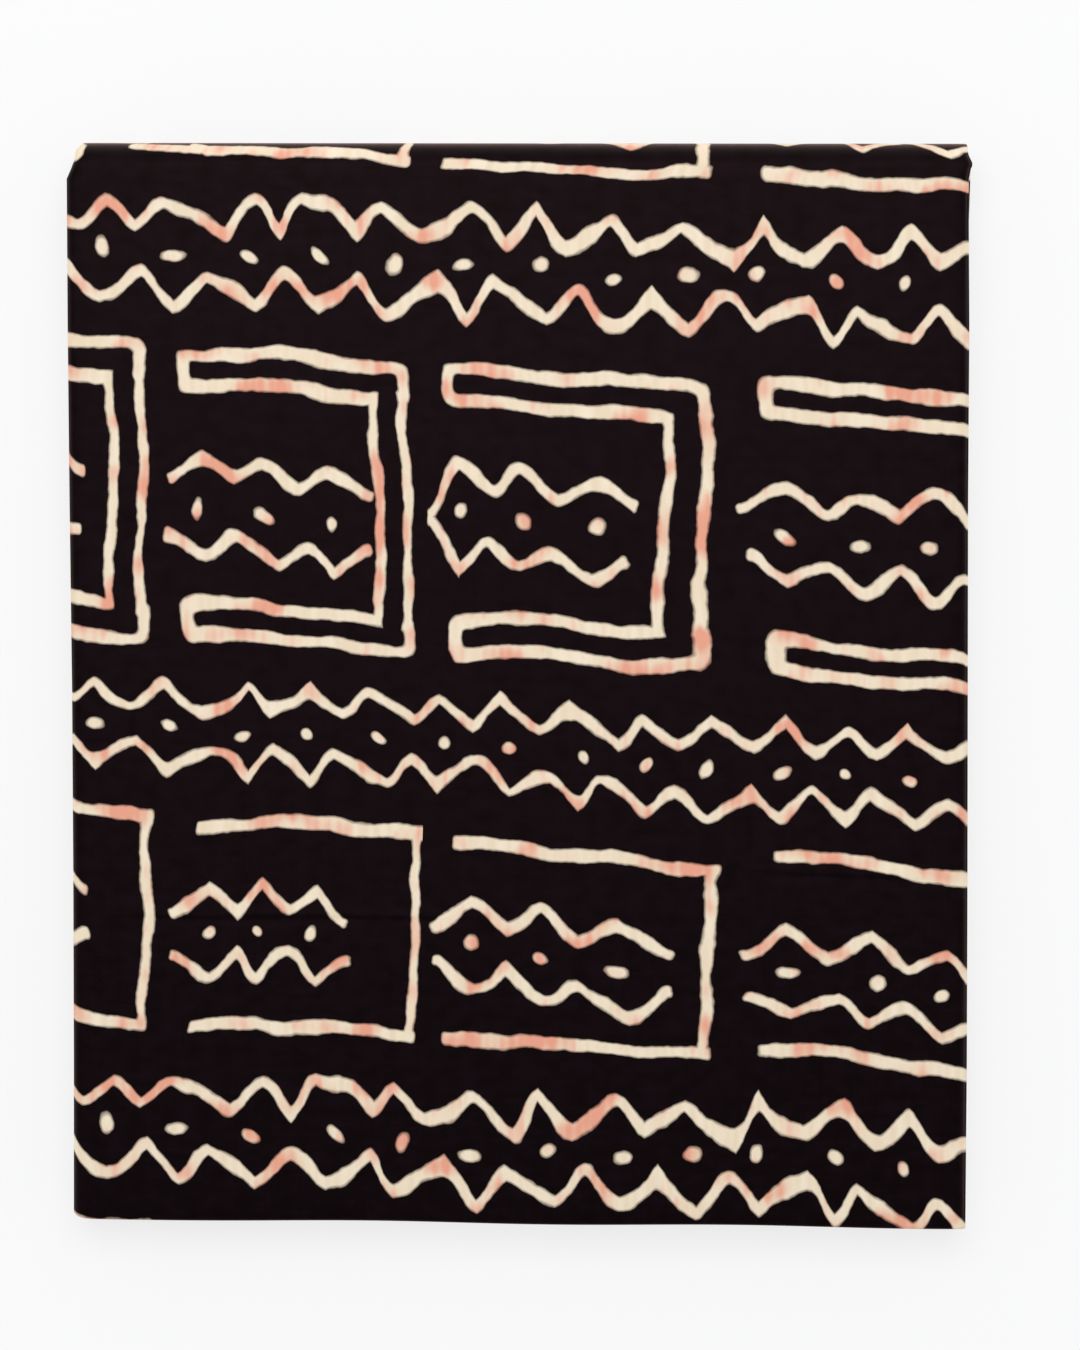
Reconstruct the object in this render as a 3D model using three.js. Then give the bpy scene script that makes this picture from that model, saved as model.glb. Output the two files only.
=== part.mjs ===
// A six yard length of printed cotton, lying flat in its folds.
// It is folded in quarters across its width, which makes one sheet of four plies, and that sheet
// goes back and forth along its length and round one thick, rounded edge.
// Millimetres. +Z is up, +Y points to the rounded edge and +X runs across the cloth.
import * as THREE from "three";

// The cloth as it is cut
const cutWidth = 1155;
const cutLength = 5486;
const pliesAcross = 4;

// The sheet of four plies, and the stack that it makes
const sheetThickness = 1.0;
const layerGap = 0.12;
const roundedTurns = 8;
const crownShare = 0.04;

// The outline seen from above
const packetWidth = cutWidth / pliesAcross;
const farLine = 176;
const farSlope = -0.001;
const nearLine = -172.4;
const nearWave = 0.3;
const nearWaveLength = 118;
const leftTaper = 2.4;
const rightTaper = 0.9;
const cornerInset = 6.6;
const cornerRun = 11.5;
const sideDrift = 0.7;
const driftTurn = 2.1;

// The near ends of the sheet, in the order in which the sheet passes them: its first cut end, each
// small fold, and where its last cut end would lie if the cloth were long enough. reach is how far
// it stands beyond the near line, and skew how much farther out its right end is than its left end.
const nearTurns = [
  { reach: -3.8, skew: 0.8 },
  { reach: 0.0, skew: 3.4 },
  { reach: -1.4, skew: 3.0 },
  { reach: -0.9, skew: 2.2 },
  { reach: -1.6, skew: 1.6 },
  { reach: -2.4, skew: 2.8 },
  { reach: -1.9, skew: 2.0 },
  { reach: -1.2, skew: 1.4 },
  { reach: -2.6, skew: 1.5 },
];

// How finely the sheet is divided
const straightShares = [1, 0.985, 0.7, 0.35, 0.012, 0];
const columnShares = [0, 0.02, 0.07, 0.18, 0.34, 0.5, 0.66, 0.82, 0.94, 1];
const arcStep = 2.4;
const fewestArcSteps = 4;
const smallFoldSteps = 5;

const pitch = sheetThickness + layerGap;
const layers = 2 * roundedTurns;
const stackHeight = layers * sheetThickness + (layers - 1) * layerGap;
const middleHeight = stackHeight / 2;
const smallFoldRadius = pitch / 2;
const outerTurnRadius = middleHeight - sheetThickness / 2;

// The sheet's middle surface goes round the rounded edge at this radius on a given turn.
function turnRadius(turn) {
  return outerTurnRadius - turn * pitch;
}

// The height of the layer above (side 1) or below (side -1) the stack's middle.
function layerHeight(turn, side) {
  return middleHeight + side * turnRadius(turn);
}

// The centre line of the rounded edge, x across the cloth.
function farCentre(x) {
  return farLine + farSlope * (x + packetWidth / 2) - middleHeight;
}

// Where the straight of a layer ends at the near side, before its small fold.
function nearEnd(turn, x) {
  const { reach, skew } = nearTurns[turn];
  const wave = nearWave * Math.sin((2 * Math.PI * x) / nearWaveLength + turn);
  const outermost = nearLine - reach - (skew * x) / packetWidth - wave;
  const isCutEnd = turn === 0 || turn === roundedTurns;
  return outermost + (isCutEnd ? 0 : smallFoldRadius + sheetThickness / 2);
}

// The length of a straight layer down the packet's middle.
function fullLength(nearTurn) {
  return farCentre(0) - nearEnd(nearTurn, 0);
}

// A station is one place along the sheet. Its y lies between the rounded edge's centre line
// (share 0) and the near end of the given turn (share 1), moved by dy; ny and nz are the sheet's
// normal there, and passed is the length of sheet before it.
const stations = [];
let passed = 0;

function addStation(nearTurn, share, dy, z, ny, nz) {
  stations.push({ nearTurn, share, dy, z, ny, nz, passed });
}

// A straight layer, to the rounded edge (direction 1) or away from it (direction -1). coverage is
// the part of the way to the near end that the sheet covers.
function addStraight(nearTurn, z, direction, coverage) {
  const start = passed;
  const length = fullLength(nearTurn) * coverage;
  const shares = direction > 0 ? straightShares : [...straightShares].reverse();
  for (const share of shares) {
    const done = direction > 0 ? 1 - share : share;
    passed = start + done * length;
    addStation(nearTurn, share * coverage, 0, z, 0, -direction);
  }
}

// A bend of half a circle about height z, without its two ends, which the straights give. climb
// is 1 where it goes up and -1 where it goes down, and bulge is 1 where it stands out towards +Y
// and -1 where it stands out towards -Y.
function addBend(nearTurn, share, z, radius, steps, climb, bulge) {
  const start = passed;
  const outward = climb * bulge;
  for (let step = 1; step < steps; step += 1) {
    const angle = (Math.PI * step) / steps;
    const ny = bulge * Math.sin(angle);
    const nz = -climb * Math.cos(angle);
    passed = start + radius * angle;
    addStation(nearTurn, share, radius * ny, z + radius * nz, outward * ny, outward * nz);
  }
  passed = start + radius * Math.PI;
}

// The whole sheet: up round the rounded edge on one pass and down on the next, with a small fold
// between two passes. The last layer is as long as what is left of the cut length.
for (let turn = 0; turn < roundedTurns; turn += 1) {
  const climb = turn % 2 === 0 ? 1 : -1;
  const nextTurn = turn + 1;
  const isLast = nextTurn === roundedTurns;
  const radius = turnRadius(turn);
  const steps = Math.max(fewestArcSteps, Math.round((Math.PI * radius) / arcStep));
  addStraight(turn, layerHeight(turn, -climb), 1, 1);
  addBend(turn, 0, middleHeight, radius, steps, climb, 1);
  const coverage = isLast ? (cutLength - passed) / fullLength(nextTurn) : 1;
  addStraight(nextTurn, layerHeight(turn, climb), -1, coverage);
  if (!isLast) {
    const foldHeight = (layerHeight(turn, climb) + layerHeight(nextTurn, climb)) / 2;
    addBend(nextTurn, 1, foldHeight, smallFoldRadius, smallFoldSteps, -climb, -1);
  }
}

// The outline's left and right sides at y, with its drawn-in far left corner.
function sidesAt(y) {
  const down = (farLine - y) / (farLine - nearLine);
  const corner = Math.max(0, y - (farLine - cornerRun)) / cornerRun;
  return {
    left: -packetWidth / 2 - leftTaper / 2 + leftTaper * down + cornerInset * corner,
    right: packetWidth / 2 + rightTaper / 2 - rightTaper * down,
  };
}

// The stack is a little higher in its middle than along its edges.
function crownAt(x, y) {
  const acrossShare = (2 * x) / packetWidth;
  const alongShare = (2 * y) / (farLine - nearLine);
  return 1 + crownShare * Math.max(0, 1 - acrossShare ** 4) * Math.max(0, 1 - alongShare ** 4);
}

// The point of the sheet's face (1 along its normal, -1 against it) at a station and column.
function sheetPoint(station, columnShare, face) {
  const roughX = (columnShare - 0.5) * packetWidth;
  const far = farCentre(roughX);
  const near = nearEnd(station.nearTurn, roughX);
  const y = far + (near - far) * station.share + station.dy;
  const { left, right } = sidesAt(y);
  const drift = sideDrift * Math.sin((driftTurn * station.passed) / (farLine - nearLine));
  const x = left + (right - left) * columnShare + drift;
  const base = sheetThickness / 2;
  const z = base + (station.z - base) * crownAt(x, y);
  const half = (face * sheetThickness) / 2;
  return [x, y + half * station.ny, z + half * station.nz];
}

// One closed sheet: both its faces, its two cut ends and its two long sides.
function foldedSheetGeometry() {
  const rows = stations.length;
  const columns = columnShares.length;
  const positions = [];
  for (const face of [1, -1]) {
    for (const station of stations) {
      for (const columnShare of columnShares) {
        positions.push(...sheetPoint(station, columnShare, face));
      }
    }
  }
  const index = [];
  const quad = (a, b, c, d) => index.push(a, b, c, a, c, d);
  const outer = (row, column) => row * columns + column;
  const inner = (row, column) => (rows + row) * columns + column;
  for (let row = 0; row < rows - 1; row += 1) {
    for (let column = 0; column < columns - 1; column += 1) {
      quad(
        outer(row, column),
        outer(row + 1, column),
        outer(row + 1, column + 1),
        outer(row, column + 1),
      );
      quad(
        inner(row, column),
        inner(row, column + 1),
        inner(row + 1, column + 1),
        inner(row + 1, column),
      );
    }
    quad(outer(row, 0), inner(row, 0), inner(row + 1, 0), outer(row + 1, 0));
    const last = columns - 1;
    quad(outer(row, last), outer(row + 1, last), inner(row + 1, last), inner(row, last));
  }
  for (let column = 0; column < columns - 1; column += 1) {
    quad(outer(0, column), outer(0, column + 1), inner(0, column + 1), inner(0, column));
    const end = rows - 1;
    quad(outer(end, column), inner(end, column), inner(end, column + 1), outer(end, column + 1));
  }
  const geometry = new THREE.BufferGeometry();
  geometry.setAttribute("position", new THREE.Float32BufferAttribute(positions, 3));
  geometry.setIndex(index);
  return geometry;
}

// The origin is under the middle of the packet's box, on the surface it lies on.
function centreOnOrigin(geometry) {
  geometry.computeBoundingBox();
  const { min, max } = geometry.boundingBox;
  geometry.translate(-(min.x + max.x) / 2, -(min.y + max.y) / 2, -min.z);
  geometry.computeVertexNormals();
  return geometry;
}

const printedCotton = new THREE.MeshStandardMaterial({
  color: 0x1b1214,
  roughness: 0.85,
  metalness: 0,
});

const cloth = new THREE.Mesh(centreOnOrigin(foldedSheetGeometry()), printedCotton);
cloth.name = "cloth";

const foldedFabric = new THREE.Group();
foldedFabric.add(cloth);

export default foldedFabric;
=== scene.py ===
# Looks of a folded length of printed cotton, seen from straight above on a white floor.
# Metres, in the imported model's frame: +Z up, +Y towards the thick rounded edge.
import math

import bpy
import numpy as np
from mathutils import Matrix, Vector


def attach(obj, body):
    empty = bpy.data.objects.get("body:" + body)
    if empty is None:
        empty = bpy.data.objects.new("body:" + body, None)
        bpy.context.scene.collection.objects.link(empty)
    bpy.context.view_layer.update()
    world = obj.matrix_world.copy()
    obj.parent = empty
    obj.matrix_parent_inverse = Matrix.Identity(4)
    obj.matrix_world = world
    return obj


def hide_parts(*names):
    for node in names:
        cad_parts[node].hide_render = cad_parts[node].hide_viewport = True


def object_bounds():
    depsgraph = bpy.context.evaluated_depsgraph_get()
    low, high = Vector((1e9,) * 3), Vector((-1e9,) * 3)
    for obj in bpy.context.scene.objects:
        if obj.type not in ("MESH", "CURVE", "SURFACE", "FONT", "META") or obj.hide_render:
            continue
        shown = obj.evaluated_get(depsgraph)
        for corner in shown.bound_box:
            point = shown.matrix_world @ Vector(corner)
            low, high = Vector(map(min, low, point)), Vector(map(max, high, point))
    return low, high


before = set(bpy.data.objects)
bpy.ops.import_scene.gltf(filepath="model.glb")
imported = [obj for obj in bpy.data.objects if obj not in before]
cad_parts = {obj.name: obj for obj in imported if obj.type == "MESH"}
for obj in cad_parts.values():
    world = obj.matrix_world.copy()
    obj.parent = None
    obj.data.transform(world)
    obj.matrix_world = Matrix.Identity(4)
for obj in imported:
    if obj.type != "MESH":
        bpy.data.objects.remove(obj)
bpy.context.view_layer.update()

MM = 0.001

# The cloth as it is cut, and its sheet of four plies
CUT_WIDTH = 1.155
CUT_LENGTH = 5.486
PLY_WIDTH = CUT_WIDTH / 4
PLY_PITCH = 0.27 * MM
SHEET_THICKNESS = 1.0 * MM
LAYER_GAP = 0.12 * MM
ROUNDED_TURNS = 8

# The outline seen from above: the far and near lines, and the top layer's two sides
FAR_LINE = 176.0 * MM
FAR_SLOPE = -0.001
NEAR_LINE = -172.4 * MM
NEAR_WAVE = 0.3 * MM
NEAR_WAVE_LENGTH = 118 * MM
NEAR_CORNER_INSET = 1.7 * MM
NEAR_CORNER_REACH = 1.5 * MM
NEAR_SIDE_INSET = -0.3 * MM
NEAR_SIDE_REACH = 25 * MM
SIDES = [
    {"y": -176.0 * MM, "left": -142.9 * MM, "right": 143.4 * MM},
    {"y": -120.0 * MM, "left": -142.9 * MM, "right": 143.9 * MM},
    {"y": -60.0 * MM, "left": -143.1 * MM, "right": 144.1 * MM},
    {"y": 0.0 * MM, "left": -143.5 * MM, "right": 144.2 * MM},
    {"y": 60.0 * MM, "left": -144.3 * MM, "right": 144.3 * MM},
    {"y": 115.0 * MM, "left": -144.9 * MM, "right": 144.7 * MM},
    {"y": 176.0 * MM, "left": -145.3 * MM, "right": 144.4 * MM},
]

# How far the left side is drawn in at the far corner, by the distance from the far line
DRAWN_IN = [
    {"down": 0.0 * MM, "inset": 6.6 * MM},
    {"down": 0.7 * MM, "inset": 4.9 * MM},
    {"down": 2.9 * MM, "inset": 2.9 * MM},
    {"down": 6.6 * MM, "inset": 2.4 * MM},
    {"down": 9.2 * MM, "inset": 1.4 * MM},
    {"down": 11.5 * MM, "inset": 0.0 * MM},
]

# All the turns stand out on the right, a little before the far corner
BUMP_DOWN = 7.6 * MM
BUMP_REACH = 1.3 * MM
BUMP_WIDTH = 2.1 * MM

# The lower layers lie a little inside the top layer's sides, each drifting on its way
LAYER_INSET = 0.85 * MM
SIDE_DRIFT = 0.40 * MM
DRIFT_TURN = 2.1

# The near ends of the sheet, in the order in which the sheet passes them: how far each stands
# beyond the near line, and how much farther out its right end is than its left end.
NEAR_TURNS = [
    {"reach": -3.8 * MM, "skew": 0.8 * MM},
    {"reach": 0.0 * MM, "skew": 3.4 * MM},
    {"reach": -1.4 * MM, "skew": 3.0 * MM},
    {"reach": -0.9 * MM, "skew": 2.2 * MM},
    {"reach": -1.6 * MM, "skew": 1.6 * MM},
    {"reach": -2.4 * MM, "skew": 2.8 * MM},
    {"reach": -1.9 * MM, "skew": 2.0 * MM},
    {"reach": -1.2 * MM, "skew": 1.4 * MM},
    {"reach": -2.6 * MM, "skew": 1.5 * MM},
]

# How the stack swells in its middle and thins out along its edges
CROWN_SHARE = 0.04
SIDE_THINNING = 0.11
SIDE_THINNING_REACH = 1.0 * MM

# The camera, straight above: the photograph's frame and where the packet lies in it
FRAME_HEIGHT = 433.6 * MM
CAMERA_HEIGHT = 1.6
SENSOR = 36.0
AIM_X = 6.55 * MM
AIM_Y = 3.15 * MM
CAMERA_REACH = 20.0

# How bright the world is straight up and at the horizon, and the one lamp, beyond the far edge
ZENITH = 0.08
HORIZON = 1.50
LAMP_PLACE = (-0.05, 0.70, 1.65)
LAMP_AIM = (0, 0, 0)
LAMP_SIZE = (1.6, 1.1)
LAMP_POWER = 22.8

# The floor, which gives off part of its light itself, as a light table does
FLOOR_HALF = 12.0
FLOOR_COLOUR = (0.18, 0.18, 0.18, 1)
FLOOR_ROUGHNESS = 0.9
FLOOR_GLOW = (0.995, 0.998, 1.0, 1)
FLOOR_GLOW_STRENGTH = 0.768

PITCH = SHEET_THICKNESS + LAYER_GAP
MIDDLE_HEIGHT = (2 * ROUNDED_TURNS * PITCH - LAYER_GAP) / 2
SMALL_FOLD_RADIUS = PITCH / 2
OUTER_TURN_RADIUS = MIDDLE_HEIGHT - SHEET_THICKNESS / 2


# Camera, light and floor

def add_camera():
    data = bpy.data.cameras.new("camera")
    data.sensor_width = SENSOR
    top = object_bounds()[1].z
    data.lens = SENSOR * (CAMERA_HEIGHT - top) / FRAME_HEIGHT
    data.clip_end = CAMERA_REACH
    camera = bpy.data.objects.new("camera", data)
    camera.location = (AIM_X, AIM_Y, CAMERA_HEIGHT)
    bpy.context.collection.objects.link(camera)
    bpy.context.scene.camera = camera


def add_area_light(name, place, aim, size, power):
    data = bpy.data.lights.new(name, "AREA")
    data.shape = "RECTANGLE"
    data.size, data.size_y = size
    data.energy = power
    light = bpy.data.objects.new(name, data)
    light.location = place
    direction = np.array(aim) - np.array(place)
    light.rotation_mode = "QUATERNION"
    light.rotation_quaternion = Vector(direction).to_track_quat("-Z", "Y")
    bpy.context.collection.objects.link(light)


def add_light():
    """White walls round the table, brighter than the ceiling, and one large lamp."""
    world = bpy.data.worlds.new("studio")
    world.use_nodes = True
    tree = Field.tree = world.node_tree
    direction = tree.nodes.new("ShaderNodeTexCoord")
    parts = tree.nodes.new("ShaderNodeSeparateXYZ")
    tree.links.new(direction.outputs["Generated"], parts.inputs[0])
    low = held(1.0 - Field(parts.outputs[2]))
    background = tree.nodes["Background"]
    background.inputs["Color"].default_value = (1, 1, 1, 1)
    feed(tree, low * (HORIZON - ZENITH) + ZENITH, background.inputs["Strength"])
    bpy.context.scene.world = world
    add_area_light("softbox", LAMP_PLACE, LAMP_AIM, LAMP_SIZE, LAMP_POWER)
    bpy.context.scene.view_settings.view_transform = "Standard"


def add_floor():
    mesh = bpy.data.meshes.new("floor")
    signs = [(-1, -1), (1, -1), (1, 1), (-1, 1)]
    corners = [(across * FLOOR_HALF, along * FLOOR_HALF, 0) for across, along in signs]
    mesh.from_pydata(corners, [], [(0, 1, 2, 3)])
    floor = bpy.data.objects.new("floor", mesh)
    bpy.context.collection.objects.link(floor)
    material = bpy.data.materials.new("white_paper")
    material.use_nodes = True
    shader = material.node_tree.nodes["Principled BSDF"]
    shader.inputs["Base Color"].default_value = FLOOR_COLOUR
    shader.inputs["Roughness"].default_value = FLOOR_ROUGHNESS
    shader.inputs["Specular IOR Level"].default_value = 0.0
    shader.inputs["Emission Color"].default_value = FLOOR_GLOW
    shader.inputs["Emission Strength"].default_value = FLOOR_GLOW_STRENGTH
    mesh.materials.append(material)
    return floor


# The sheet's way along its length, as stations: one place each along the middle of the four plies

def turn_radius(turn):
    return OUTER_TURN_RADIUS - turn * PITCH


def layer_height(turn, side):
    return MIDDLE_HEIGHT + side * turn_radius(turn)


def far_centre(x):
    return FAR_LINE + FAR_SLOPE * (x + PLY_WIDTH / 2) - MIDDLE_HEIGHT


def near_end(turn, x):
    """Where the straight of a layer ends at the near side, before its small fold."""
    row = NEAR_TURNS[turn]
    wave = NEAR_WAVE * np.sin(2 * math.pi * x / NEAR_WAVE_LENGTH + turn)
    from_left = x + PLY_WIDTH / 2
    corner = NEAR_CORNER_INSET * np.exp(-from_left / NEAR_CORNER_REACH)
    corner = corner + NEAR_SIDE_INSET * np.exp(-((from_left / NEAR_SIDE_REACH) ** 2))
    outermost = NEAR_LINE - row["reach"] - row["skew"] * x / PLY_WIDTH - wave + corner
    is_cut_end = turn in (0, ROUNDED_TURNS)
    return outermost + (0 if is_cut_end else SMALL_FOLD_RADIUS + SHEET_THICKNESS / 2)


def full_length(turn):
    return far_centre(0.0) - near_end(turn, 0.0)


class Way:
    """The stations of the sheet. share is 0 at the rounded edge's centre line and 1 at the near
    end of the given turn, along is the length of sheet before the station."""

    def __init__(self):
        self.rows = []
        self.along = 0.0

    def add(self, turn, share, dy, z, ny, nz):
        self.rows.append((turn, share, dy, z, ny, nz, self.along))

    def straight(self, turn, z, direction, coverage, steps):
        start = self.along
        length = full_length(turn) * coverage
        for step in range(steps + 1):
            done = step / steps
            self.along = start + done * length
            share = coverage * (1 - done if direction > 0 else done)
            self.add(turn, share, 0.0, z, 0.0, -direction)

    def bend(self, turn, share, z, radius, steps, climb, bulge):
        start = self.along
        outward = climb * bulge
        for step in range(1, steps):
            angle = math.pi * step / steps
            ny = bulge * math.sin(angle)
            nz = -climb * math.cos(angle)
            self.along = start + radius * angle
            self.add(turn, share, radius * ny, z + radius * nz, outward * ny, outward * nz)
        self.along = start + radius * math.pi


# Into how many steps each stretch of the sheet is divided along its length
TOP_STEPS = 96
HIDDEN_STEPS = 18
OUTER_BEND_STEPS = 26
BEND_STEPS = 12
SMALL_BEND_STEPS = 8


def sheet_way():
    """Returns the stations, and where the rounded turn and the top layer begin and end."""
    way = Way()
    marks = {}
    for turn in range(ROUNDED_TURNS):
        climb = 1 if turn % 2 == 0 else -1
        following = turn + 1
        is_last = following == ROUNDED_TURNS
        radius = turn_radius(turn)
        way.straight(turn, layer_height(turn, -climb), 1, 1, HIDDEN_STEPS)
        marks.setdefault("roll_start", len(way.rows) - 1)
        marks.setdefault("apex_along", way.along + radius * math.pi / 2)
        bend_steps = OUTER_BEND_STEPS if turn == 0 else BEND_STEPS
        way.bend(turn, 0, MIDDLE_HEIGHT, radius, bend_steps, climb, 1)
        coverage = (CUT_LENGTH - way.along) / full_length(following) if is_last else 1
        steps = TOP_STEPS if turn == 0 else HIDDEN_STEPS
        way.straight(following, layer_height(turn, climb), -1, coverage, steps)
        marks.setdefault("top_end", len(way.rows) - 1)
        if not is_last:
            height = (layer_height(turn, climb) + layer_height(following, climb)) / 2
            way.bend(following, 1, height, SMALL_FOLD_RADIUS, SMALL_BEND_STEPS, -climb, -1)
    return np.array(way.rows), marks


# The sheet's way across its width, as columns: share of the packet's width from its left side,
# a step sideways, the height in the sheet of four plies, and the width of cloth before it

# The columns by a side, in millimetres from it, and the spacing of those between
SIDE_STEPS = [0, 0.25, 0.55, 0.95, 1.5, 2.3, 3.6, 5.8, 9]
HIDDEN_SIDE_STEPS = [0, 1.2, 2.8, 5.4, 10.5]
TOP_COLUMN_SPACING = 4.2 * MM
HIDDEN_COLUMN_SPACING = 38 * MM
FOLD_STEPS = 6
SELVEDGE_STEP = 1.1 * MM


def ply_shares(side_steps, spacing):
    """Shares of the ply's width from 0 to 1, finer along its two sides."""
    near = [step * MM / PLY_WIDTH for step in side_steps]
    middle_count = round((1 - 2 * near[-1]) * PLY_WIDTH / spacing)
    middle = np.linspace(near[-1], 1 - near[-1], middle_count + 1)
    return np.concatenate([near[:-1], middle, [1 - share for share in near[:-1]][::-1]])


def sheet_columns():
    """In quarters: the lowest ply, round the right side to the top ply, round the left side to
    the ply below that, and round inside the right side to the last ply."""
    fine = ply_shares(SIDE_STEPS, TOP_COLUMN_SPACING)
    coarse = ply_shares(HIDDEN_SIDE_STEPS, HIDDEN_COLUMN_SPACING)
    rows = []
    across = 0.0

    def ply(shares, height, to_right, trim):
        nonlocal across
        start = across
        for share in shares:
            across = start + share * PLY_WIDTH
            place = share if to_right else 1 - share
            rows.append((place, trim * (1 - share), height, across))

    def fold(radius, middle, side, climb):
        nonlocal across
        for step in range(1, FOLD_STEPS):
            angle = math.pi * step / FOLD_STEPS
            reach = side * radius * math.sin(angle)
            height = middle - climb * radius * math.cos(angle)
            rows.append((1.0 if side > 0 else 0.0, reach, height, across))

    ply(coarse, -1.5 * PLY_PITCH, True, SELVEDGE_STEP)
    fold(1.5 * PLY_PITCH, 0.0, 1, 1)
    top_start = len(rows)
    ply(fine, 1.5 * PLY_PITCH, False, 0.0)
    top_end = len(rows) - 1
    fold(0.5 * PLY_PITCH, PLY_PITCH, -1, -1)
    ply(coarse, 0.5 * PLY_PITCH, True, 0.0)
    fold(0.5 * PLY_PITCH, 0.0, 1, -1)
    ply(coarse, -0.5 * PLY_PITCH, False, 0.0)
    return np.array(rows), top_start, top_end


def swell(x, y, from_side, height):
    """How much the stack swells at x, y, as a factor on the height of a layer in it."""
    across = np.clip(1 - (2 * x / PLY_WIDTH) ** 4, 0, 1)
    along = np.clip(1 - (2 * y / (FAR_LINE - NEAR_LINE)) ** 4, 0, 1)
    thinning = SIDE_THINNING * np.exp(-from_side / SIDE_THINNING_REACH)
    return 1 + CROWN_SHARE * across * along - thinning * height


def from_table(table, key, column, at):
    keys, values = ([row[name] for row in table] for name in (key, column))
    return np.interp(at, keys, values)


# Soft troughs and ridges of the top layer, listed one by one: the middle of each, the direction in
# which it runs, half its length, half its width, and its height
CREASES = [
    {"x": 20 * MM, "y": 60 * MM, "turn": -0.35, "half": 60 * MM, "width": 10 * MM, "rise": 0.22 * MM},
    {"x": -60 * MM, "y": 10 * MM, "turn": 0.25, "half": 55 * MM, "width": 12 * MM, "rise": -0.20 * MM},
    {"x": 85 * MM, "y": -120 * MM, "turn": 0.60, "half": 45 * MM, "width": 9 * MM, "rise": 0.16 * MM},
]


def creases(x, y):
    total = np.zeros_like(x)
    for crease in CREASES:
        c, s = math.cos(crease["turn"]), math.sin(crease["turn"])
        dx, dy = x - crease["x"], y - crease["y"]
        lengthwise = (dx * c + dy * s) / crease["half"]
        sideways = (dy * c - dx * s) / crease["width"]
        total += crease["rise"] * np.exp(-lengthwise ** 2 - sideways ** 2)
    return total


def build_cloth():
    stations, marks = sheet_way()
    columns, top_start, top_end = sheet_columns()
    turn, share, dy, z, ny, nz, along = (stations[:, i : i + 1] for i in range(7))
    place, reach, height, across = (columns[None, :, i] for i in range(4))

    rough_x = (place - 0.5) * PLY_WIDTH
    near = np.concatenate([near_end(int(t), rough_x) for t in turn[:, 0]])
    y = far_centre(rough_x) + (near - far_centre(rough_x)) * share + dy
    down = np.clip(FAR_LINE - y, 0, None)
    left = from_table(SIDES, "y", "left", y) + from_table(DRAWN_IN, "down", "inset", down)
    right = from_table(SIDES, "y", "right", y)
    bump = np.exp(-(((down - BUMP_DOWN) / BUMP_WIDTH) ** 2))
    on_top = (along >= marks["apex_along"]) & (turn <= 1)
    drift = SIDE_DRIFT * np.sin(DRIFT_TURN * along / (FAR_LINE - NEAR_LINE))
    drift = np.where(on_top, 0, drift)
    inset = np.where(on_top, 0, LAYER_INSET)
    right = right + BUMP_REACH * bump - inset
    x = left + inset + (right - left - inset) * place + drift + reach

    base = SHEET_THICKNESS / 2
    depth = z / (2 * MIDDLE_HEIGHT)
    from_side = np.minimum(place, 1 - place) * PLY_WIDTH
    z = base + (z - base) * swell(x, y, from_side, depth) + creases(x, y) * depth ** 3
    points = np.stack([x, y + height * ny, z + height * nz], axis=-1)

    flat_x = CUT_WIDTH / 2 - across + 0 * along
    flat_y = along - marks["apex_along"] + 0 * across
    return points, np.stack([flat_x, flat_y], axis=-1), marks, top_start, top_end


def add_cloth():
    points, flat, marks, top_start, top_end = build_cloth()
    rows, columns = points.shape[:2]
    middle = (points.reshape(-1, 3).min(0) + points.reshape(-1, 3).max(0)) / 2
    points[..., :2] -= middle[:2]

    r, c = np.meshgrid(np.arange(rows - 1), np.arange(columns - 1), indexing="ij")
    r, c = r.ravel(), c.ravel()
    corner_rows = np.stack([r, r, r + 1, r + 1], axis=1)
    corner_columns = np.stack([c, c + 1, c + 1, c], axis=1)
    faces = corner_rows * columns + corner_columns

    mesh = bpy.data.meshes.new("cloth_sheet")
    mesh.from_pydata(points.reshape(-1, 3).tolist(), [], faces.tolist())
    mesh.shade_smooth()
    on_cloth = mesh.uv_layers.new(name="on_cloth")
    on_cloth.uv.foreach_set("vector", flat.reshape(-1, 2)[faces].astype(np.float32).ravel())
    add_bake_map(mesh, flat, corner_rows, corner_columns, marks, top_start, top_end)
    mesh.uv_layers.active = on_cloth
    cloth = bpy.data.objects.new("cloth_sheet", mesh)
    bpy.context.collection.objects.link(cloth)
    return cloth


# How much of the second map's width the top ply gets, and the gap beside it
TOP_SHARE = 0.80
MAP_GAP = 0.01


def add_bake_map(mesh, flat, corner_rows, corner_columns, marks, top_start, top_end):
    """A second map, in which the top ply and its roll over the far edge get the most room."""
    on_top = (
        (corner_rows[:, 0] >= marks["roll_start"])
        & (corner_rows[:, 0] < marks["top_end"])
        & (corner_columns[:, 0] >= top_start)
        & (corner_columns[:, 0] < top_end)
    )[:, None]
    corner_flat = flat[corner_rows, corner_columns]
    u0, u1 = flat[0, top_end, 0], flat[0, top_start, 0]
    v0, v1 = flat[marks["top_end"], 0, 1], flat[marks["roll_start"], 0, 1]
    top_u = TOP_SHARE * (corner_flat[..., 0] - u0) / (u1 - u0)
    top_v = (corner_flat[..., 1] - v0) / (v1 - v0)
    rest_start = TOP_SHARE + MAP_GAP
    rest_u = rest_start + (1 - rest_start) * corner_columns / (flat.shape[1] - 1)
    rest_v = corner_rows / (flat.shape[0] - 1)
    places = np.stack([np.where(on_top, top_u, rest_u), np.where(on_top, top_v, rest_v)], -1)
    layer = mesh.uv_layers.new(name="OFBake")
    layer.uv.foreach_set("vector", places.astype(np.float32).ravel())


# The print. A Field is a number that the material works out at each point of the cloth.

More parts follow.
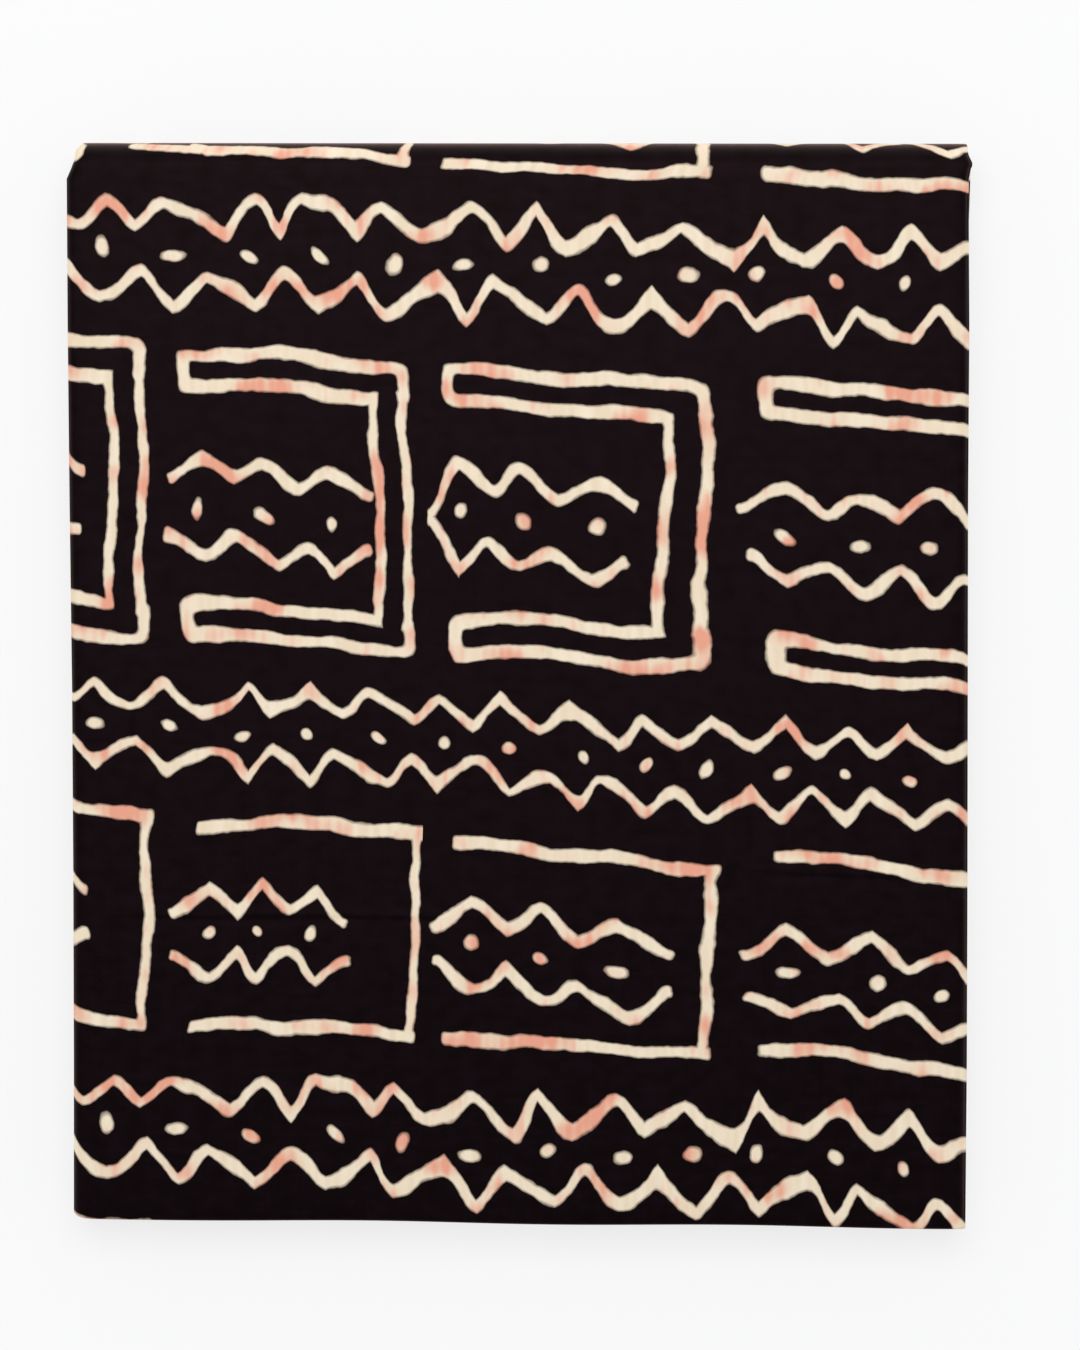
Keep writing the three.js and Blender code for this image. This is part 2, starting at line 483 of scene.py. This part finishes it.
class Field:
    tree = None

    def __init__(self, socket):
        self.socket = socket

    def calc(self, operation, *others, clamp=False):
        node = self.tree.nodes.new("ShaderNodeMath")
        node.operation = operation
        node.use_clamp = clamp
        for entry, value in zip(node.inputs, (self, *others)):
            feed(self.tree, value, entry)
        return Field(node.outputs[0])

    def __add__(self, other):
        return self.calc("ADD", other)

    def __sub__(self, other):
        return self.calc("SUBTRACT", other)

    def __mul__(self, other):
        return self.calc("MULTIPLY", other)

    def __truediv__(self, other):
        return self.calc("DIVIDE", other)

    def __rsub__(self, other):
        return constant(other) - self

    __radd__ = __add__
    __rmul__ = __mul__


def feed(tree, value, entry):
    if isinstance(value, Field):
        tree.links.new(value.socket, entry)
    else:
        entry.default_value = value


def constant(number):
    node = Field.tree.nodes.new("ShaderNodeValue")
    node.outputs[0].default_value = number
    return Field(node.outputs[0])


def size_of(field):
    return field.calc("ABSOLUTE")


def least(field, *others):
    for other in others:
        field = field.calc("MINIMUM", other)
    return field


def most(field, *others):
    for other in others:
        field = field.calc("MAXIMUM", other)
    return field


def above(field, limit):
    return field.calc("GREATER_THAN", limit)


def held(field):
    """The field kept between 0 and 1."""
    return field.calc("ADD", 0.0, clamp=True)


def blend(a, b, share):
    return (b - a) * share + a


def vector(x, y):
    node = Field.tree.nodes.new("ShaderNodeCombineXYZ")
    feed(Field.tree, x, node.inputs[0])
    feed(Field.tree, y, node.inputs[1])
    return node.outputs[0]


def hypotenuse(a, b):
    return (a * a + b * b).calc("SQRT")


def rounded(a, b):
    """The distance for two distances at right angles, with a corner between square and round."""
    b = most(b, 0.0)
    return (a * a * a * a + b * b * b * b).calc("POWER", 0.25)


def eased(share):
    """A share from 0 to 1 that leaves and arrives gently."""
    return share * share * (3.0 - share * 2.0)


# How far one seed's noise lies from the next one's
SEED_STEP_X = 17.3
SEED_STEP_Y = 9.1


def noise(x, y, seed, detail):
    """Smooth noise about 0, mostly between -0.5 and 0.5, with features one unit across."""
    node = Field.tree.nodes.new("ShaderNodeTexNoise")
    node.noise_dimensions = "2D"
    node.inputs["Scale"].default_value = 1.0
    node.inputs["Detail"].default_value = detail
    place = vector(x + seed * SEED_STEP_X, y + seed * SEED_STEP_Y)
    Field.tree.links.new(place, node.inputs["Vector"])
    return Field(node.outputs[0]) - 0.5


def chance(x, y):
    """Three even random numbers for a whole-numbered place, taken in the middle of its square."""
    node = Field.tree.nodes.new("ShaderNodeTexWhiteNoise")
    node.noise_dimensions = "2D"
    Field.tree.links.new(vector(x + 0.5, y + 0.5), node.inputs["Vector"])
    parts = Field.tree.nodes.new("ShaderNodeSeparateColor")
    Field.tree.links.new(node.outputs["Color"], parts.inputs[0])
    return [Field(out) for out in parts.outputs[:3]]


# What makes the print uneven, each a noise with its own seed. wide and high are the size of its
# features in millimetres, and key in place of high sets one line or cell apart from the next.
UNEVEN = {
    "place across": {"seed": 1, "wide": 46.0, "high": 60.0, "strength": 6.0},
    "fine place across": {"seed": 2, "wide": 9.0, "high": 9.0, "strength": 1.3},
    "place along": {"seed": 3, "wide": 52.0, "high": 70.0, "strength": 7.0},
    "fine place along": {"seed": 4, "wide": 9.0, "high": 9.0, "strength": 1.3},
    "teeth": {"seed": 5, "wide": 17.0, "key": 3.7},
    "zigzag line": {"seed": 6, "wide": 8.0, "key": 5.1, "strength": 1.1},
    "bracket line": {"seed": 7, "wide": 11.0, "high": 11.0, "strength": 1.0},
    "edge of ink": {"seed": 8, "wide": 3.6, "high": 3.6, "strength": 0.8, "detail": 1.0},
    "pink patches": {"seed": 9, "wide": 17.0, "high": 15.0, "detail": 1.0},
    "streaks": {"seed": 10, "wide": 2.4, "high": 20.0},
    "mottle": {"seed": 11, "wide": 6.0, "high": 4.0, "strength": 1.8, "detail": 1.0},
    "lint": {"seed": 12, "wide": 1.2, "high": 1.2, "strength": 1.5},
    "bracket upright": {"seed": 13, "wide": 24.0, "key": 3.3, "strength": 3.0},
    "upper level": {"seed": 14, "wide": 30.0, "key": 2.9, "strength": 4.5},
    "lower level": {"seed": 15, "wide": 30.0, "key": 4.3, "strength": 4.5},
    "threads across": {"seed": 16, "wide": 40.0, "high": 0.9},
    "threads along": {"seed": 17, "wide": 0.9, "high": 40.0},
}


def uneven(name, x, y):
    row = UNEVEN[name]
    second = y / row["high"] if "high" in row else y * row["key"]
    wave = noise(x / row["wide"], second, row["seed"], row.get("detail", 0.0))
    return wave * row["strength"] if "strength" in row else wave


# The print's layout, in millimetres on the flat cloth: x from the top ply's left side, y down
# from the middle of the rounded edge. Four rows repeat down the cloth, in cells across it.
ROW_REPEAT = 283.0
FIRST_ROW_START = 12.0
SLOPE = 0.058
LEAN = -0.004
LEAN_MIDDLE = 255.0
CELL = 94.0
CELL_START = 23.9
CELL_SWAY = 6.7
CELL_SWAY_START = 65.0
CELL_SWAY_LENGTH = 300.0
ROW_ENDS = [60.5, 171.0, 213.5]
ROWS = [
    {"middle": 36.9, "half_gap": 11.9, "tooth": 4.9, "pitch": 23.4, "slope": -0.010, "line": 1.75},
    {"middle": 119.1, "half_gap": 12.2, "tooth": 3.7, "pitch": 22.0, "slope": -0.008, "line": 1.65},
    {"middle": 192.6, "half_gap": 10.6, "tooth": 4.0, "pitch": 21.7, "slope": 0.006, "line": 1.45},
    {"middle": 258.0, "half_gap": 10.8, "tooth": 4.0, "pitch": 21.0, "slope": 0.025, "line": 1.6},
]
BRACKETS = [
    {"top": 75.4, "bottom": 157.2, "half_gap": 5.2, "left": 14.5, "right": 82.5, "lean": 0.015},
    {"top": 222.6, "bottom": 286.6, "half_gap": 0.0, "left": 8.5, "right": 88.5, "lean": -0.06},
]
TEETH_IN_CELL = 3
ROW_SLOPE_MIDDLE = 144.0

# A distance from every stroke at which nothing shows
FAR_OUT = 200.0

# What chance varies, from its least value over its range; spreads lie evenly about the middle
BY_CHANCE = {
    "short pair start": {"least": 2.5, "range": 4.0},
    "short pair end": {"least": 65.0, "range": 12.0},
    "corner point": {"least": 0.08, "range": 0.65},
    "dot length": {"least": 1.9, "range": 1.2},
    "dot width": {"least": 1.5, "range": 0.6},
}
CORNER_SPREAD = 2.7
DOT_SPREAD = 3.0
BRACKET_SPREAD = 3.0
GAP_SPREAD = 0.8
LEFT_RANGE = 4.0
RIGHT_RANGE = 2.0
UPPER_OVERSHOOT = 1.5
LOWER_OVERSHOOT = 1.2

# Where each use of chance takes its numbers, apart from the others
CELL_KEY = 31.0
SHORT_PAIR_KEY = 11.0
DOT_PLACE_KEY = 23.0
DOT_SHAPE_KEY = 41.0
BRACKET_PLACE_KEY = 61.0
BRACKET_SHAPE_KEY = 83.0

# The zigzags: the share of short pairs that don't join at their start, how far joined strokes
# stand from the pair's middle, how far the teeth sway, and the drips at the corners
NOT_JOINED = 0.7
JOIN_HEIGHT = 0.4
TOOTH_SWAY = 0.5
SHORT_TOOTH_SWAY = 0.25
LAST_POINT = TEETH_IN_CELL - 0.001
DRIP_NARROWNESS = 5.0
DRIP_RARENESS = 4.0
DRIP_WIDTH = 1.5
SHORT_DRIP_WIDTH = 0.6

# How much of a cut end is square, the size of the dots as a share of the line's, and the radius
# that turns their measure into millimetres
SQUARE_SHARE = 0.4
DOT_SIZE = 0.62
DOT_RADIUS = 1.8

# The brackets' strokes: half the width of an upright, what a level stroke and a single bracket
# add to it or take off, how gently it changes, and how round the corner is
UPRIGHT_LINE = 1.65
LEVEL_EXTRA = 0.45
SINGLE_THINNER = 0.1
LEVEL_CHANGE = 0.25
CORNER_BLEND = 0.8

# Where the cloth was stretched: the print lies lower on the roll, at the near fold and by the
# right side
ROLL_STRETCH = {"until": 20.0, "reach": 8.0, "left": -3.2, "middle": 2.2, "right": -0.8}
ROLL_STRETCH_STARTS = [30.0, 185.0]
ROLL_STRETCH_RUN = 12.0
NEAR_STRETCH = {"from": 345.0, "reach": 6.0, "lower": 1.8, "until": 70.0, "run": 30.0}
RIGHT_FOLD = 288.75
RIGHT_BEND = 1.5
RIGHT_BEND_REACH = 3.2

# Strokes on the roll that keep to no row
LOOSE_STROKES = [
    {"x": -2.0, "y": 7.0, "half_length": 0.0, "half_width": 4.7, "slope": 0.0},
    {"x": 29.0, "y": 5.8, "half_length": 11.0, "half_width": 1.8, "slope": 0.09},
]


class Layout:
    """Where a point of the cloth lies in the print."""

    def __init__(self, x, y):
        leaning = x + (y - LEAN_MIDDLE) * LEAN
        self.x = leaning + uneven("place across", x, y) + uneven("fine place across", x, y)
        on_roll = held((ROLL_STRETCH["until"] - y) / ROLL_STRETCH["reach"])
        middle, right = (held((x - at) / ROLL_STRETCH_RUN) for at in ROLL_STRETCH_STARTS)
        lower = middle * (ROLL_STRETCH["middle"] - ROLL_STRETCH["left"]) + ROLL_STRETCH["left"]
        lower = lower + right * (ROLL_STRETCH["right"] - ROLL_STRETCH["middle"])
        on_near = held((y - NEAR_STRETCH["from"]) / NEAR_STRETCH["reach"])
        on_near = on_near * held((NEAR_STRETCH["until"] - x) / NEAR_STRETCH["run"])
        y = y - on_roll * lower - on_near * NEAR_STRETCH["lower"]
        by_fold = (size_of(x - RIGHT_FOLD) / -RIGHT_BEND_REACH).calc("EXPONENT")
        slanted = y - by_fold * RIGHT_BEND - x * SLOPE
        wavy = slanted + uneven("place along", x, y) + uneven("fine place along", x, y)
        self.y = (wavy - FIRST_ROW_START).calc("FLOORED_MODULO", ROW_REPEAT) + FIRST_ROW_START
        self.past = [above(self.y, end) for end in ROW_ENDS]
        self.in_brackets = size_of(self.past[0] - self.past[1] + self.past[2])
        sway = ((x - CELL_SWAY_START) * (2 * math.pi / CELL_SWAY_LENGTH)).calc("SINE")
        cells = (self.x - CELL_START + sway * CELL_SWAY) / CELL
        self.cell = cells.calc("FLOOR")
        self.in_cell = (cells - self.cell) * CELL

    def by_row(self, column):
        """The value that the row at this point has in the given column of ROWS."""
        values = [row[column] for row in ROWS]
        total = constant(values[0])
        for past, before, after in zip(self.past, values, values[1:]):
            total = total + past * (after - before)
        return total

    def by_bracket(self, column):
        first, second = (row[column] for row in BRACKETS)
        return self.past[1] * (second - first) + first

    def row_number(self):
        return self.past[0] + self.past[1] + self.past[2]


def by_chance(name, share):
    row = BY_CHANCE[name]
    return share * row["range"] + row["least"]


class Pair:
    """Where a point lies in its pair of zigzags: how far from the pair's middle, how many teeth
    from its start, and how far past the ends of a short pair."""

    def __init__(self, place):
        self.place = place
        self.row = place.row_number()
        self.pitch = place.by_row("pitch")
        self.cell_key = place.cell * place.in_brackets * CELL_KEY
        slant = (place.x - ROW_SLOPE_MIDDLE) * place.by_row("slope")
        self.y = place.y - place.by_row("middle") - slant
        self.line = self.row * 2.0 + above(self.y, 0.0)

        starts, ends, joins = chance(place.cell, self.row + SHORT_PAIR_KEY)
        start = by_chance("short pair start", starts)
        end = by_chance("short pair end", ends)
        short = (place.in_cell - start) / (end - start) * TEETH_IN_CELL
        self.tooth = blend(place.x / self.pitch, short, place.in_brackets)
        self.joining = above(joins, NOT_JOINED) * place.in_brackets

        strength = blend(TOOTH_SWAY, SHORT_TOOTH_SWAY, place.in_brackets)
        sway = uneven("teeth", place.x, self.line) * strength
        self.swayed = self.tooth + sway * (1.0 - self.joining * held(1.0 - self.tooth))
        past_end = most(0.0 - self.swayed, self.swayed - TEETH_IN_CELL) * self.pitch
        self.past_end = most(past_end, 0.0) * place.in_brackets


def zigzags(pair):
    """How far a point lies outside the zigzags, in millimetres. A zigzag goes from corner to
    corner, half a tooth apart, and each corner has its own height, point and thickness."""
    place, pitch = pair.place, pair.pitch
    endless = (1.0 - place.in_brackets) * FAR_OUT
    covered = least(most(pair.swayed, 0.0 - endless), endless + LAST_POINT)
    half_teeth = covered * 2.0
    corner = half_teeth.calc("FLOOR")
    part = half_teeth - corner
    rest = 1.0 - part
    is_first = 1.0 - above(size_of(corner), 0.5)
    joined = pair.joining * is_first

    # The corners lie by turns nearer to the pair's middle and farther from it
    at_start = chance(corner + pair.cell_key, pair.line)
    at_end = chance(corner + pair.cell_key + 1.0, pair.line)
    away = ((corner / 2.0).calc("FRACT") * 4.0 - 1.0) * place.by_row("tooth")
    half_gap = place.by_row("half_gap")
    first = away + (at_start[0] - 0.5) * CORNER_SPREAD
    first = blend(first, JOIN_HEIGHT - half_gap, joined)
    last = (at_end[0] - 0.5) * CORNER_SPREAD - away

    # The curve between two corners, its height and how steep it is
    point_start = by_chance("corner point", at_start[2])
    point_end = by_chance("corner point", at_end[2])
    share = eased(part) + point_start * part * rest * rest - point_end * part * part * rest
    pull = point_start * rest * (1.0 - part * 3.0) + point_end * part * (part * 3.0 - 2.0)
    steep = (last - first) / (pitch * 0.5) * (part * rest * 6.0 + pull)

    # A short zigzag is cut off square to its own slope
    longer = hypotenuse(steep, 1.0)
    slant = steep * (1.0 - joined)
    beyond = slant * (pair.swayed - covered) * pitch
    gap = (size_of(pair.y) - half_gap - blend(first, last, share) - beyond) / longer
    before = (0.0 - pair.swayed) * pitch * longer - slant * gap
    after = (pair.swayed - TEETH_IN_CELL) * pitch * longer + slant * gap
    cut_off = most(before, after, 0.0) * place.in_brackets

    drip = constant(0.0)
    for nearness, corner_chances in ((rest, at_start), (part, at_end)):
        rare = corner_chances[1].calc("POWER", DRIP_RARENESS)
        drip = drip + nearness.calc("POWER", DRIP_NARROWNESS) * rare
    half_width = place.by_row("line") + uneven("zigzag line", place.x, pair.line)
    half_width = half_width + drip * blend(DRIP_WIDTH, SHORT_DRIP_WIDTH, place.in_brackets)
    inner = half_width * SQUARE_SHARE
    return hypotenuse(most(size_of(gap) - inner, 0.0), cut_off) - half_width + inner


def dots(pair):
    """How far a point lies outside the dots, one to a tooth, each an oval turned its own way."""
    whole = pair.tooth.calc("FLOOR")
    key = whole + pair.cell_key
    spread, height, turn = chance(key, pair.row + DOT_PLACE_KEY)
    long, wide, _ = chance(key, pair.row + DOT_SHAPE_KEY)
    dx = (pair.tooth - whole - 0.5) * pair.pitch + (spread - 0.5) * DOT_SPREAD
    dy = pair.y + (height - 0.5) * DOT_SPREAD
    angle = turn * math.pi
    c, s = angle.calc("COSINE"), angle.calc("SINE")
    size = pair.place.by_row("line") * DOT_SIZE
    along = (dx * c + dy * s) / (by_chance("dot length", long) * size)
    across = (dy * c - dx * s) / (by_chance("dot width", wide) * size)
    return (hypotenuse(along, across) - 1.0) * DOT_RADIUS + pair.past_end * FAR_OUT


def brackets(place):
    """How far a point lies outside the strokes of the brackets, in millimetres."""
    single = place.past[1]
    middle = (place.by_bracket("top") + place.by_bracket("bottom")) * 0.5
    wobble = uneven("bracket upright", place.y, place.cell)
    x = place.in_cell - (place.y - middle) * place.by_bracket("lean") + wobble
    shift, tops, bottoms = chance(place.cell, single + BRACKET_PLACE_KEY)
    upper_out, lower_out, wide = chance(place.cell, single + BRACKET_SHAPE_KEY)
    left = place.by_bracket("left") + shift * LEFT_RANGE
    right = place.by_bracket("right") + upper_out * RIGHT_RANGE
    sag = uneven("upper level", place.x, place.cell)
    hang = uneven("lower level", place.x, place.cell)
    top = place.by_bracket("top") + (tops - 0.5) * BRACKET_SPREAD + sag
    bottom = place.by_bracket("bottom") + (bottoms - 0.5) * BRACKET_SPREAD + hang

    before = most(left - x, 0.0)
    upper = rounded(place.y - top, most(before, x - right - upper_out * UPPER_OVERSHOOT))
    lower = rounded(place.y - bottom, most(before, x - right - lower_out * LOWER_OVERSHOOT))
    upright = rounded(x - right, most(top - place.y, place.y - bottom))
    level = least(upper, lower)
    distance = level.calc("SMOOTH_MIN", upright, CORNER_BLEND)

    is_level = held((upright - level) * LEVEL_CHANGE + 0.5)
    half_width = is_level * LEVEL_EXTRA + UPRIGHT_LINE + uneven("bracket line", x, place.y)
    half_width = half_width - single * SINGLE_THINNER
    half_gap = place.by_bracket("half_gap") + (wide - 0.5) * (1.0 - single) * GAP_SPREAD
    stroke = size_of(distance - half_gap) - half_width
    return stroke + (1.0 - place.in_brackets) * FAR_OUT


def loose_strokes(x, y):
    outside = []
    for stroke in LOOSE_STROKES:
        dx = x - stroke["x"]
        dy = y - stroke["y"] - dx * stroke["slope"]
        beyond = most(size_of(dx) - stroke["half_length"], 0.0)
        outside.append(hypotenuse(beyond, dy) - stroke["half_width"])
    return least(*outside)


# How ink ends at the edge of a stroke, and how its pink comes in patches and streaks, a little
# more of it towards the near side
INK_FALL = 1.15
INK_AT_EDGE = 0.45
STREAK_SHARE = 0.28
PINK_CONTRAST = 3.15
PINK_LEVEL = 0.11
PINK_NEAR = 0.08
PINK_NEAR_AT = 350.0


def ink_and_pink(x, y):
    """How much of a point is inked, how pink its ink is, and the streaks in the ink."""
    place = Layout(x, y)
    pair = Pair(place)
    strokes = least(zigzags(pair), dots(pair), brackets(place), loose_strokes(x, y))
    ink = held((strokes + uneven("edge of ink", x, y)) * -INK_FALL + INK_AT_EDGE)
    streaks = uneven("streaks", x, y)
    patches = uneven("pink patches", x, y) + streaks * STREAK_SHARE
    nearness = held(y / PINK_NEAR_AT)
    pink = held(patches * PINK_CONTRAST + PINK_LEVEL + nearness * PINK_NEAR)
    return ink, eased(pink), streaks


def mixed_colour(share, first, second):
    node = Field.tree.nodes.new("ShaderNodeMix")
    node.data_type = "RGBA"
    feed(Field.tree, share, node.inputs["Factor"])
    for entry, colour in (("A", first), ("B", second)):
        socket = next(i for i in node.inputs if i.name == entry and i.type == "RGBA")
        if isinstance(colour, tuple):
            socket.default_value = (*colour, 1)
        else:
            Field.tree.links.new(colour, socket)
    return next(out for out in node.outputs if out.type == "RGBA")


# Linear colours of the cloth and its inks, and how far streaks and threads mix them
DARK_GROUND = (0.0004, 0.0003, 0.0005)
LIGHT_GROUND = (0.0028, 0.0015, 0.0029)
CREAM = (0.745, 0.625, 0.465)
PALE_CREAM = (0.80, 0.70, 0.55)
SALMON = (0.73, 0.335, 0.235)
STREAK_CONTRAST = 1.8
THREAD_CONTRAST = 0.5

# The weave, and how rough and glossy the cloth is
YARN = 0.36
WEAVE_DEPTH = 0.03 * MM
WEAVE_STRENGTH = 0.6
ROUGHNESS = 0.45
INK_SMOOTHER = 0.02
MOTTLE_SMOOTHER = 0.07
SPECULAR_LEVEL = 0.055
SPECULAR_TINT = (1.0, 0.55, 0.62, 1)
SHEEN_WEIGHT = 0.45
SHEEN_ROUGHNESS = 0.36
SHEEN_TINT = (1.0, 0.54, 0.44, 1)
MM_IN_A_METRE = 1000.0

# Sharp creases across the top layer, in millimetres on the flat cloth: their middle, half their
# length and width, and their depth in weave depths
SHARP_CREASES = [
    {"x": 72.0, "y": 254.8, "half_length": 52.0, "half_width": 0.5, "slope": 0.0, "depth": 9.0},
    {"x": 252.0, "y": 240.0, "half_length": 34.0, "half_width": 0.6, "slope": 0.03, "depth": 7.0},
]


def sharp_creases(x, y):
    """Each is a small step down, away from the lamp, so that it reads as a dark line."""
    height = constant(0.0)
    for crease in SHARP_CREASES:
        dx = (x - crease["x"]) / crease["half_length"]
        dy = (y - crease["y"] - (x - crease["x"]) * crease["slope"]) / crease["half_width"]
        fading = (size_of(dy) * -0.5 - dx * dx * dx * dx).calc("EXPONENT")
        height = height + fading * dy * crease["depth"]
    return height


def add_cotton():
    material = bpy.data.materials.new("printed_cotton")
    material.use_nodes = True
    tree = Field.tree = material.node_tree
    shader = tree.nodes["Principled BSDF"]
    map_node = tree.nodes.new("ShaderNodeUVMap")
    map_node.uv_map = "on_cloth"
    parts = tree.nodes.new("ShaderNodeSeparateXYZ")
    tree.links.new(map_node.outputs[0], parts.inputs[0])
    x = Field(parts.outputs[0]) * MM_IN_A_METRE
    y = Field(parts.outputs[1]) * MM_IN_A_METRE

    ink, pink, streaks = ink_and_pink(x, y)
    threads = uneven("threads across", x, y) + uneven("threads along", x, y)
    mottle = held(uneven("mottle", x, y) + threads * THREAD_CONTRAST + 0.5)
    ground = mixed_colour(mottle, DARK_GROUND, LIGHT_GROUND)
    cream = mixed_colour(held(streaks * STREAK_CONTRAST + 0.5), CREAM, PALE_CREAM)
    inked = mixed_colour(pink, cream, SALMON)
    tree.links.new(mixed_colour(ink, ground, inked), shader.inputs["Base Color"])
    tree.links.new(weave_and_creases(x, y), shader.inputs["Normal"])

    roughness = ROUGHNESS - ink * INK_SMOOTHER - mottle * MOTTLE_SMOOTHER
    tree.links.new(roughness.socket, shader.inputs["Roughness"])
    shader.inputs["Specular IOR Level"].default_value = SPECULAR_LEVEL
    shader.inputs["Specular Tint"].default_value = SPECULAR_TINT
    shader.inputs["Sheen Weight"].default_value = SHEEN_WEIGHT
    shader.inputs["Sheen Roughness"].default_value = SHEEN_ROUGHNESS
    shader.inputs["Sheen Tint"].default_value = SHEEN_TINT
    return material


def weave_and_creases(x, y):
    """The relief of a plain weave, lint and the sharp creases, as a direction for the shader."""
    warp = (x * (math.pi / YARN)).calc("SINE")
    weft = (y * (math.pi / YARN)).calc("SINE")
    relief = warp * weft + uneven("lint", x, y) - sharp_creases(x, y)
    bump = Field.tree.nodes.new("ShaderNodeBump")
    bump.inputs["Strength"].default_value = WEAVE_STRENGTH
    bump.inputs["Distance"].default_value = WEAVE_DEPTH
    Field.tree.links.new(relief.socket, bump.inputs["Height"])
    return bump.outputs[0]


add_camera()
add_light()
floor = add_floor()
cloth = add_cloth()
cloth.data.materials.append(add_cotton())
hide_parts("cloth")
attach(cloth, "root")
